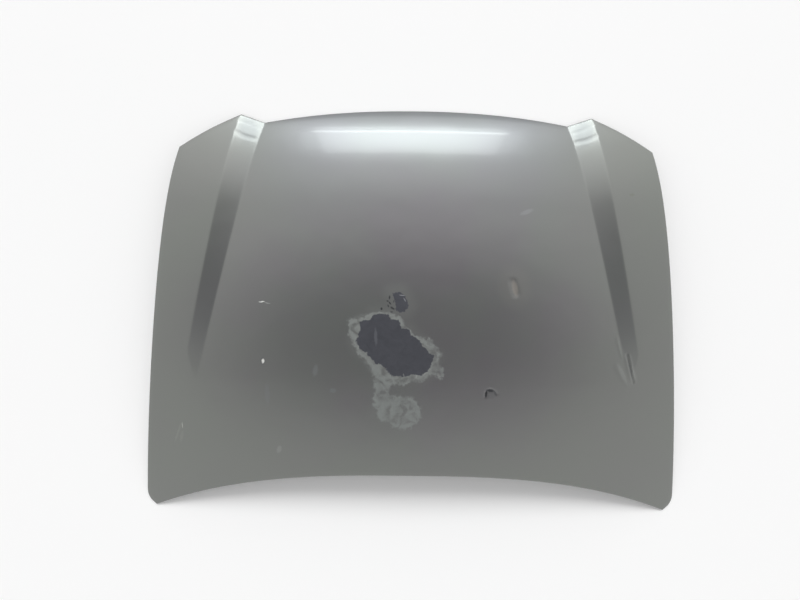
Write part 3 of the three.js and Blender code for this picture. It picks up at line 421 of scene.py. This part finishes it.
def normal_at(plan):
    reach = 0.5
    slope_x = (skin_at(plan.x + reach, plan.y) - skin_at(plan.x - reach, plan.y)) / (2 * reach)
    slope_y = (skin_at(plan.x, plan.y + reach) - skin_at(plan.x, plan.y - reach)) / (2 * reach)
    return Vector((-slope_x, -slope_y, 1)).normalized()


def hem_point(column, row, turn):
    """A point of the edge fold: turn 0 is its upper line, and the last one is the hem's free edge."""
    inner_column = math.copysign(min(abs(column), last_column - 1), column)
    inner_row = clamp(row, 1, last_row - 1)
    edge = on_skin(plan_point(column, row))
    inner = on_skin(plan_point(inner_column, inner_row))
    normal = normal_at(edge)
    start = edge.lerp(inner, HEM_RADIUS / FLANGE_WIDTH)
    if turn > FOLD_TURNS:
        return edge.lerp(inner, HEM_WIDTH / FLANGE_WIDTH) - normal * 2 * HEM_RADIUS
    angle = math.pi * turn / FOLD_TURNS
    return start - normal * HEM_RADIUS * (1 - math.cos(angle)) + (edge - start) * math.sin(angle)


def in_model(point):
    return Vector((point.x, point.y + PANEL_MIDDLE_Y, point.z + PANEL_BASE_Z)) / 1000


# Small helpers for modelling by hand
def only(piece):
    bpy.ops.object.select_all(action="DESELECT")
    piece.select_set(True)
    bpy.context.view_layer.objects.active = piece


def apply(piece, kind, **settings):
    only(piece)
    modifier = piece.modifiers.new(kind.title(), kind)
    for name, value in settings.items():
        setattr(modifier, name, value)
    bpy.ops.object.modifier_apply(modifier=modifier.name)


def merged_copy(node, name):
    piece = bpy.data.objects[node].copy()
    piece.data = piece.data.copy()
    piece.name = name
    bpy.context.scene.collection.objects.link(piece)
    only(piece)
    bpy.ops.object.mode_set(mode="EDIT")
    bpy.ops.mesh.select_all(action="SELECT")
    bpy.ops.mesh.remove_doubles(threshold=WELD_DISTANCE)
    bpy.ops.object.mode_set(mode="OBJECT")
    return piece


def dress(piece, material):
    piece.data.materials.clear()
    piece.data.materials.append(material)


# Colours and materials
def linear(colour):
    """An sRGB hex colour as Blender's linear one."""
    parts = [int(colour[at:at + 2], 16) / 255 for at in (0, 2, 4)]
    parts = [part / 12.92 if part <= 0.04045 else ((part + 0.055) / 1.055) ** 2.4 for part in parts]
    return (*parts, 1)


def add(tree, kind, inputs=None, **settings):
    """Adds one node. A socket in inputs is linked, and any other value is set."""
    made = tree.nodes.new(kind)
    for name, value in settings.items():
        setattr(made, name, value)
    for name, value in (inputs or {}).items():
        if isinstance(value, bpy.types.NodeSocket):
            tree.links.new(value, made.inputs[name])
        else:
            made.inputs[name].default_value = value
    return made


def new_material(name):
    material = bpy.data.materials.new(name)
    material.use_nodes = True
    material.node_tree.nodes.clear()
    return material, material.node_tree


def finish_material(tree, shader):
    add(tree, "ShaderNodeOutputMaterial", {"Surface": shader.outputs[0]})


def noise(tree, spot, scale, detail, roughness=0.5, distortion=0.0):
    made = add(tree, "ShaderNodeTexNoise", {
        "Vector": spot, "Scale": scale, "Detail": detail, "Roughness": roughness, "Distortion": distortion})
    return made.outputs["Fac"]


def maths(tree, operation, *values, use_clamp=False):
    made = add(tree, "ShaderNodeMath", dict(enumerate(values)), operation=operation, use_clamp=use_clamp)
    return made.outputs[0]


def ranged(tree, value, start, end, low, high, way="SMOOTHSTEP"):
    """Low where the value is at start, high where it is at end, and between them on the way."""
    made = add(tree, "ShaderNodeMapRange", {
        "Value": value, "From Min": start, "From Max": end, "To Min": low, "To Max": high},
        interpolation_type=way)
    return made.outputs[0]


def mixed(tree, share, first, second):
    """A colour between two, each a socket or an sRGB hex colour."""
    ends = [linear(end) if isinstance(end, str) else end for end in (first, second)]
    return add(tree, "ShaderNodeMix", {0: share, 6: ends[0], 7: ends[1]}, data_type="RGBA").outputs[2]


def off_ellipse(tree, spot, middle, turn, half_sizes):
    """The distance from an ellipse's middle, which is 1 on its outline. Height plays no part."""
    local = add(tree, "ShaderNodeMapping", {
        "Vector": spot,
        "Location": (middle[0], middle[1], 0),
        "Rotation": (0, 0, math.radians(turn)),
        "Scale": (*half_sizes, 1000),
    }, vector_type="TEXTURE")
    return add(tree, "ShaderNodeVectorMath", {0: local.outputs[0]}, operation="LENGTH").outputs["Value"]


def drawn_value(tree, name):
    """A value that make_outer_skin writes on the skin's points. Elsewhere it is 0."""
    return add(tree, "ShaderNodeAttribute", attribute_name=name).outputs["Fac"]


def ragged_place(tree, spot, scale, reach):
    """A place on the object, moved a little by noise so that outlines drawn there turn ragged."""
    ragged = add(tree, "ShaderNodeTexNoise", {"Vector": spot, "Scale": scale, "Detail": 4.0})
    centred = add(tree, "ShaderNodeVectorMath", {0: ragged.outputs["Color"], 1: (0.5, 0.5, 0.5)},
                  operation="SUBTRACT")
    return add(tree, "ShaderNodeVectorMath", {0: centred.outputs[0], 1: (reach, reach, reach), 2: spot},
               operation="MULTIPLY_ADD").outputs[0]


# Colours of the paint, of its painted sheen and painted shade, and of what shows where it has come off
PAINT_CLOUDS = ("67676a", "737474")
PAINT_HUES = ("70746f", "706c70")
# Painted sheen: paler tones towards the rim and the nose
RIM_SHEEN_TONES = ("727570", "6e7274")
# Painted shade on the rear of the steps' faces
STEP_FACE_PAINTED_SHADE = "55565d"
LIFTED_TONE = "7d817f"
HALO_TONE = "7e807e"
UNDERCOAT_TONES = ("484a50", "5a5b62")


def painted_tone(tree, spot):
    """The sprayed colour coat: cloudy, with painted sheen that makes it paler towards the rim, and painted
    shade that makes the rear of the steps' faces darker.
    """
    clouds = mixed(tree, noise(tree, spot, 3.2, 3.0), *PAINT_CLOUDS)
    hue_share = ranged(tree, noise(tree, spot, 4.5, 2.0), 0.35, 0.65, 0.0, 1.0, "LINEAR")
    tone = mixed(tree, 0.5, clouds, mixed(tree, hue_share, *PAINT_HUES))
    # Painted sheen: paler and greener towards the rim and bluer near the nose, like the brighter reflections
    # there
    off_middle = off_ellipse(tree, spot, (0, 0.06), 0, (0.62, 0.5))
    rim_sheen_share = ranged(tree, off_middle, 0.3, 1.1, 0.0, 0.7)
    off_nose = add(tree, "ShaderNodeVectorMath", {0: spot, 1: (0, 0.6, 0.1)}, operation="DISTANCE")
    nose_share = ranged(tree, off_nose.outputs["Value"], 0.55, 0.25, 0.0, 1.0)
    tone = mixed(tree, rim_sheen_share, tone, mixed(tree, nose_share, *RIM_SHEEN_TONES))
    # Painted shade: the rear of the steps' sloping faces is drawn darker
    step_shade_share = maths(tree, "MULTIPLY", drawn_value(tree, "step_face_shade"), 0.25)
    return mixed(tree, step_shade_share, tone, STEP_FACE_PAINTED_SHADE)


# Sprayed metallic clear-over-base paint, dulled by weather: a soft grey sheen with faint flakes.
# Where it has peeled, a dark smooth undercoat shows, with a pale chalky rim of lifted clear coat.
def make_paint():
    material, tree = new_material("metallic grey paint, dulled clear coat")
    spot = add(tree, "ShaderNodeTexCoord").outputs["Object"]
    colour = painted_tone(tree, spot)

    # The peel's distances are in millimetres, and the noise moves each edge by a few.
    edge_noise = maths(tree, "MULTIPLY_ADD", noise(tree, spot, 70.0, 6.0, roughness=0.65), 40.0, -24.5)
    edge_noise = maths(tree, "MULTIPLY_ADD", noise(tree, spot, 210.0, 3.0), 9.0, edge_noise)
    mottle = noise(tree, spot, 45.0, 5.0, distortion=0.8)

    # Lifted clear coat, palest in patches and along its rim
    lifted_edge = maths(tree, "ADD", drawn_value(tree, "lifted_distance"), edge_noise)
    lifted = ranged(tree, lifted_edge, 5.0, -4.0, 0.0, 1.0)
    rim = ranged(tree, lifted_edge, -12.0, -2.0, 0.0, 0.35)
    patches = ranged(tree, mottle, 0.4, 0.6, 0.12, 0.95, "LINEAR")
    pale = maths(tree, "MULTIPLY", maths(tree, "ADD", patches, rim, use_clamp=True), lifted)
    colour = mixed(tree, pale, colour, LIFTED_TONE)

    # Bare undercoat, with a pale halo round it
    bare_distance = drawn_value(tree, "bare_distance")
    halo = ranged(tree, bare_distance, 36.0, 2.0, 0.0, 0.4)
    colour = mixed(tree, halo, colour, HALO_TONE)
    bare_edge = maths(tree, "MULTIPLY_ADD", edge_noise, 0.45, bare_distance)
    bare = ranged(tree, bare_edge, 1.0, -1.0, 0.0, 1.0, "LINEAR")
    colour = mixed(tree, bare, colour, mixed(tree, mottle, *UNDERCOAT_TONES))

    # Spots and scratches, with the painted shade and painted highlights from the list
    ragged_spot = ragged_place(tree, spot, 160.0, 0.004)
    for (x, y), half_length, half_width, turn, mark_and_shade_colour, strength in MARKS_AND_PAINTED_SHADE:
        middle = in_model(Vector((x, y, 0)))
        off_mark = off_ellipse(tree, ragged_spot, middle, turn, (half_length / 1000, half_width / 1000))
        share = ranged(tree, off_mark, 1.25, 0.5, 0.0, strength)
        colour = mixed(tree, share, colour, mark_and_shade_colour)

    # Faint waves of the sheet, flakes in the paint, and a step down at the edge of the bare undercoat
    chalk = maths(tree, "MULTIPLY_ADD", pale, 0.3, 0.31)
    roughness = add(tree, "ShaderNodeMix", {0: bare, 2: chalk, 3: 0.34})
    step_down = maths(tree, "MULTIPLY_ADD", bare, -1.0, noise(tree, spot, 500.0, 2.0))
    waves = add(tree, "ShaderNodeBump", {
        "Height": noise(tree, spot, 14.0, 1.0), "Strength": 0.5, "Distance": 0.001})
    bump = add(tree, "ShaderNodeBump", {
        "Height": step_down, "Strength": 0.08, "Distance": 0.0006, "Normal": waves.outputs["Normal"]})
    shader = add(tree, "ShaderNodeBsdfPrincipled", {
        "Base Color": colour,
        "Metallic": 0.7,
        "Roughness": roughness.outputs[0],
        "Coat Weight": 0.4,
        "Coat Roughness": 0.06,
        "Normal": bump.outputs["Normal"],
    })
    finish_material(tree, shader)
    return material


# Thin body-coloured primer coat on the pressed inside frame: flatter and darker than the outside
def make_frame_paint():
    material, tree = new_material("flat grey underside paint")
    spot = add(tree, "ShaderNodeTexCoord").outputs["Object"]
    shader = add(tree, "ShaderNodeBsdfPrincipled", {
        "Base Color": mixed(tree, noise(tree, spot, 12.0, 4.0), "5c5d60", "68696b"),
        "Metallic": 0.2,
        "Roughness": 0.55,
    })
    finish_material(tree, shader)
    return material


# Hot-dip or zinc-plated pressed steel: dull bright metal with a faint spangle
def make_steel(name, dark, pale, roughness):
    material, tree = new_material(name)
    spot = add(tree, "ShaderNodeTexCoord").outputs["Object"]
    spangle = add(tree, "ShaderNodeTexVoronoi", {"Vector": spot, "Scale": 220.0})
    stain = noise(tree, spot, 40.0, 4.0)
    share = add(tree, "ShaderNodeMix", {0: 0.4, 2: stain, 3: spangle.outputs["Color"]})
    shader = add(tree, "ShaderNodeBsdfPrincipled", {
        "Base Color": mixed(tree, share.outputs[0], dark, pale), "Metallic": 1.0, "Roughness": roughness})
    finish_material(tree, shader)
    return material


# Moulded EPDM rubber: near black, dull, with a fine grain from the mould
def make_rubber():
    material, tree = new_material("moulded black rubber")
    spot = add(tree, "ShaderNodeTexCoord").outputs["Object"]
    bump = add(tree, "ShaderNodeBump", {
        "Height": noise(tree, spot, 900.0, 3.0), "Strength": 0.2, "Distance": 0.0003})
    shader = add(tree, "ShaderNodeBsdfPrincipled", {
        "Base Color": mixed(tree, noise(tree, spot, 60.0, 3.0), "1f1f20", "2d2d2e"),
        "Roughness": 0.7,
        "Normal": bump.outputs["Normal"],
    })
    finish_material(tree, shader)
    return material


# Anti-flutter mastic, squeezed out soft and cured: mid grey, matt, slightly lumpy
def make_mastic():
    material, tree = new_material("cured grey mastic")
    spot = add(tree, "ShaderNodeTexCoord").outputs["Object"]
    lumps = noise(tree, spot, 180.0, 4.0)
    bump = add(tree, "ShaderNodeBump", {"Height": lumps, "Strength": 0.5, "Distance": 0.001})
    shader = add(tree, "ShaderNodeBsdfPrincipled", {
        "Base Color": mixed(tree, lumps, "5b5b58", "6f6f6b"),
        "Roughness": 0.8,
        "Normal": bump.outputs["Normal"],
    })
    finish_material(tree, shader)
    return material


paint = make_paint()
frame_paint = make_frame_paint()
finishes = {
    "outer_paint": paint,
    "frame_paint": frame_paint,
    "plain_steel": make_steel("coated sheet steel", "6c6e70", "8a8c8e", 0.45),
    "zinc_steel": make_steel("zinc-plated steel", "9a9a94", "bdbdb6", 0.35),
    "black_rubber": make_rubber(),
    "grey_mastic": make_mastic(),
}
for part in frame["record"]["subparts"]:
    dress(bpy.data.objects[part["node"]], finishes[part["material_slot"]])


# The outer skin: a sheet drawn flat by columns and rows, then laid on the panel's shape
def near_wear(plan):
    """Whether the skin needs finer faces here."""
    if (plan - Vector(WEAR_MIDDLE)).length < WEAR_REACH:
        if min(off_outline(plan, outline) for outline in BARE_PATCHES + [LIFTED_COAT]) < FINE_ROUND_PEEL:
            return True
    return any(off_line(plan, line) < reach + FINE_ROUND_DENT for line, reach, top in DENTS)


def make_outer_skin():
    bpy.ops.object.select_all(action="DESELECT")
    bpy.ops.mesh.primitive_grid_add(x_subdivisions=2 * last_column, y_subdivisions=last_row, size=2)
    skin = bpy.context.object
    skin.name = "painted_outer_skin"
    skin.scale = (last_column, last_row / 2, 1)
    skin.location = (0, last_row / 2, 0)
    bpy.ops.object.transform_apply(location=True, rotation=True, scale=True)

    # Finer faces where the skin is dented or peeled
    bpy.ops.object.mode_set(mode="EDIT")
    bpy.ops.mesh.select_mode(type="FACE")
    bpy.ops.mesh.select_all(action="DESELECT")
    drawn = bmesh.from_edit_mesh(skin.data)
    for face in drawn.faces:
        middle = face.calc_center_median()
        face.select_set(near_wear(plan_point(middle.x, middle.y)))
    bpy.ops.mesh.subdivide(number_cuts=FINE_CUTS)

    # The border is drawn out once for each turn of the hem's fold.
    bpy.ops.mesh.select_mode(type="EDGE")
    bpy.ops.mesh.select_all(action="DESELECT")
    drawn = bmesh.from_edit_mesh(skin.data)
    for edge in drawn.edges:
        edge.select_set(edge.is_boundary)
    for _ in range(FOLD_TURNS + 1):
        bpy.ops.mesh.extrude_edges_move(TRANSFORM_OT_translate={"value": (0, 0, -1)})
    bpy.ops.object.mode_set(mode="OBJECT")

    bare = skin.data.attributes.new("bare_distance", "FLOAT", "POINT")
    lifted = skin.data.attributes.new("lifted_distance", "FLOAT", "POINT")
    # How much painted shade each point on the rear of the steps' faces gets
    painted_step_shade = skin.data.attributes.new("step_face_shade", "FLOAT", "POINT")
    for vertex in skin.data.vertices:
        column, row, turn = vertex.co.x, vertex.co.y, -vertex.co.z
        plan = plan_point(column, row)
        painted_step_shade.data[vertex.index].value = painted_step_shade_at(plan)
        bare.data[vertex.index].value = FAR
        lifted.data[vertex.index].value = FAR
        if (plan - Vector(WEAR_MIDDLE)).length < WEAR_REACH:
            bare.data[vertex.index].value = min(off_outline(plan, patch) for patch in BARE_PATCHES)
            lifted.data[vertex.index].value = off_outline(plan, LIFTED_COAT)
        if abs(column) > last_column - ON_BORDER or not ON_BORDER <= row <= last_row - ON_BORDER:
            place = hem_point(column, row, round(turn))
        else:
            place = on_skin(plan)
        vertex.co = in_model(place)
    only(skin)
    bpy.ops.object.mode_set(mode="EDIT")
    bpy.ops.mesh.select_all(action="SELECT")
    bpy.ops.mesh.normals_make_consistent(inside=False)
    bpy.ops.object.mode_set(mode="OBJECT")
    skin.data.materials.append(paint)
    skin.data.materials.append(frame_paint)
    apply(skin, "SOLIDIFY", thickness=SKIN_SHEET / 1000, offset=-1.0, material_offset=1)
    bpy.ops.object.shade_smooth_by_angle(angle=math.radians(SMOOTH_ANGLE))
    return skin


outer_skin = make_outer_skin()
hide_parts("outer_skin")
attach(outer_skin, "root")


# The inner frame: the model's own sheet, its bends rounded, and its flat flange left as it is in the hem
FLAT_MARGIN = 6


def near_edge(place):
    """Whether a point of the model lies on the flat flange at the panel's border."""
    x = abs(place.x * 1000)
    y = place.y * 1000 - PANEL_MIDDLE_Y
    reach = FLANGE_WIDTH + FLAT_MARGIN
    return x > side_edge_x(y) - reach or y < rear_edge_y(x) + reach or y > front_edge_y(x) - reach


inner_frame = merged_copy("inner_frame", "pressed_inner_frame")
bpy.ops.object.mode_set(mode="EDIT")
pressed = bmesh.from_edit_mesh(inner_frame.data)
kept_sharp = pressed.edges.layers.float.new("crease_edge")
for edge in pressed.edges:
    if all(near_edge(vertex.co) for vertex in edge.verts):
        edge[kept_sharp] = 1
bpy.ops.object.mode_set(mode="OBJECT")
apply(inner_frame, "SUBSURF", levels=1, render_levels=1, subdivision_type="CATMULL_CLARK")
bpy.ops.object.shade_smooth_by_angle(angle=math.radians(SMOOTH_ANGLE))
dress(inner_frame, frame_paint)
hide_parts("inner_frame")
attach(inner_frame, "root")


# The room: pale floor, soft light all round, lamps beyond the nose that the paint mirrors, and a low
# soft light for the shadow. In metres, as the model is.
FLOOR_SIZE = 30
FLOOR_Z = -0.001
NOSE_AIM = (0, 0.5, 0.08)


def make_floor():
    """The floor is clear from below, so that the underside can be seen through it."""
    bpy.ops.mesh.primitive_plane_add(size=FLOOR_SIZE, location=(0, 0, FLOOR_Z))
    floor = bpy.context.object
    floor.name = "floor"
    material, tree = new_material("pale floor")
    matt = add(tree, "ShaderNodeBsdfPrincipled", {"Base Color": linear("f8f8f8"), "Roughness": 0.9})
    side = add(tree, "ShaderNodeNewGeometry")
    clear = add(tree, "ShaderNodeBsdfTransparent")
    shader = add(tree, "ShaderNodeMixShader", {
        0: side.outputs["Backfacing"], 1: matt.outputs[0], 2: clear.outputs[0]})
    finish_material(tree, shader)
    floor.data.materials.append(material)


def background(tree, strength):
    return add(tree, "ShaderNodeBackground", {"Color": (1, 1, 1, 1), "Strength": strength}).outputs[0]


def make_world():
    world = bpy.data.worlds.new("studio")
    bpy.context.scene.world = world
    world.use_nodes = True
    tree = world.node_tree
    tree.nodes.clear()
    direction = add(tree, "ShaderNodeTexCoord").outputs["Generated"]
    towards = add(tree, "ShaderNodeSeparateXYZ", {0: direction})
    rays = add(tree, "ShaderNodeLightPath")

    # What the paint mirrors: a ceiling darkest a little to the rear, and more light from beyond the nose
    off_dark = add(tree, "ShaderNodeVectorMath", {0: direction, 1: (0.55, 1.0, 0.0), 2: (0.0, 0.22, 0.0)},
                   operation="MULTIPLY_ADD")
    off_dark = add(tree, "ShaderNodeVectorMath", {0: off_dark.outputs[0]}, operation="LENGTH")
    ceiling = ranged(tree, off_dark.outputs["Value"], 0.15, 0.42, 0.27, 1.1)
    window_side = ranged(tree, towards.outputs["Y"], -0.1, 0.5, 0.0, 1.0)
    aside = maths(tree, "ABSOLUTE", towards.outputs["X"])
    window_end = ranged(tree, aside, 0.15, 0.6, 1.15, 0.5)
    window_light = maths(tree, "MULTIPLY", window_side, window_end)
    mirrored = background(tree, maths(tree, "ADD", ceiling, window_light))

    # What lights matt surfaces: more from beyond the nose, so that shadows fall to the rear
    lit = background(tree, maths(tree, "MULTIPLY_ADD", towards.outputs["Y"], 0.45, 0.6))
    seen = background(tree, 1.0)
    glossy = add(tree, "ShaderNodeMixShader", {0: rays.outputs["Is Glossy Ray"], 1: lit, 2: mirrored})
    camera = add(tree, "ShaderNodeMixShader", {
        0: rays.outputs["Is Camera Ray"], 1: glossy.outputs[0], 2: seen})
    add(tree, "ShaderNodeOutputWorld", {"Surface": camera.outputs[0]})


def add_lamp(name, place, aim, width, depth, power):
    """The paint mirrors the lamp, and matt surfaces get none of its light."""
    lamp_data = bpy.data.lights.new(name, "AREA")
    lamp_data.shape = "RECTANGLE"
    lamp_data.size = width
    lamp_data.size_y = depth
    lamp_data.energy = power
    lamp_data.color = (0.95, 1.0, 1.0)
    lamp = bpy.data.objects.new(name, lamp_data)
    bpy.context.scene.collection.objects.link(lamp)
    lamp.location = place
    lamp.rotation_euler = (Vector(aim) - Vector(place)).to_track_quat("-Z", "Y").to_euler()
    lamp.visible_camera = False
    lamp.visible_diffuse = False


def add_sun(elevation, softness, strength):
    """Even soft light from beyond the nose, which the paint doesn't mirror."""
    sun_data = bpy.data.lights.new("low soft light", "SUN")
    sun_data.energy = strength
    sun_data.angle = math.radians(softness)
    sun = bpy.data.objects.new("low soft light", sun_data)
    bpy.context.scene.collection.objects.link(sun)
    sun.rotation_euler = (math.radians(elevation - 90), 0, 0)
    sun.visible_glossy = False


make_floor()
make_world()
add_lamp("thin strip", (0, 2.85, 0.85), NOSE_AIM, width=1.9, depth=0.08, power=6.5)
add_lamp("broad window", (0, 2.9, 1.38), NOSE_AIM, width=2.0, depth=1.6, power=34)
add_lamp("wide wall", (0, 2.95, 1.5), NOSE_AIM, width=2.5, depth=1.1, power=6)
add_sun(elevation=36, softness=22, strength=2.2)


# The camera, where the photograph was taken: its place in metres, its directions and its lens in mm
CAMERA_PLACE = (-0.0366, 0.3830, 1.6067)
CAMERA_FORWARD = (0.0006, -0.1967, -0.9805)
CAMERA_RIGHT = (0.99992, 0.01206, -0.0018)
CAMERA_LENS = 27.19
SENSOR_WIDTH = 36


def make_camera():
    data = bpy.data.cameras.new("camera")
    data.sensor_width = SENSOR_WIDTH
    data.lens = CAMERA_LENS
    camera = bpy.data.objects.new("camera", data)
    bpy.context.scene.collection.objects.link(camera)
    right = Vector(CAMERA_RIGHT).normalized()
    forward = Vector(CAMERA_FORWARD).normalized()
    up = right.cross(forward).normalized()
    right = forward.cross(up).normalized()
    turned = Matrix((right, up, -forward)).transposed().to_4x4()
    camera.matrix_world = Matrix.Translation(CAMERA_PLACE) @ turned
    bpy.context.scene.camera = camera


make_camera()
bpy.context.scene.view_settings.view_transform = "Standard"
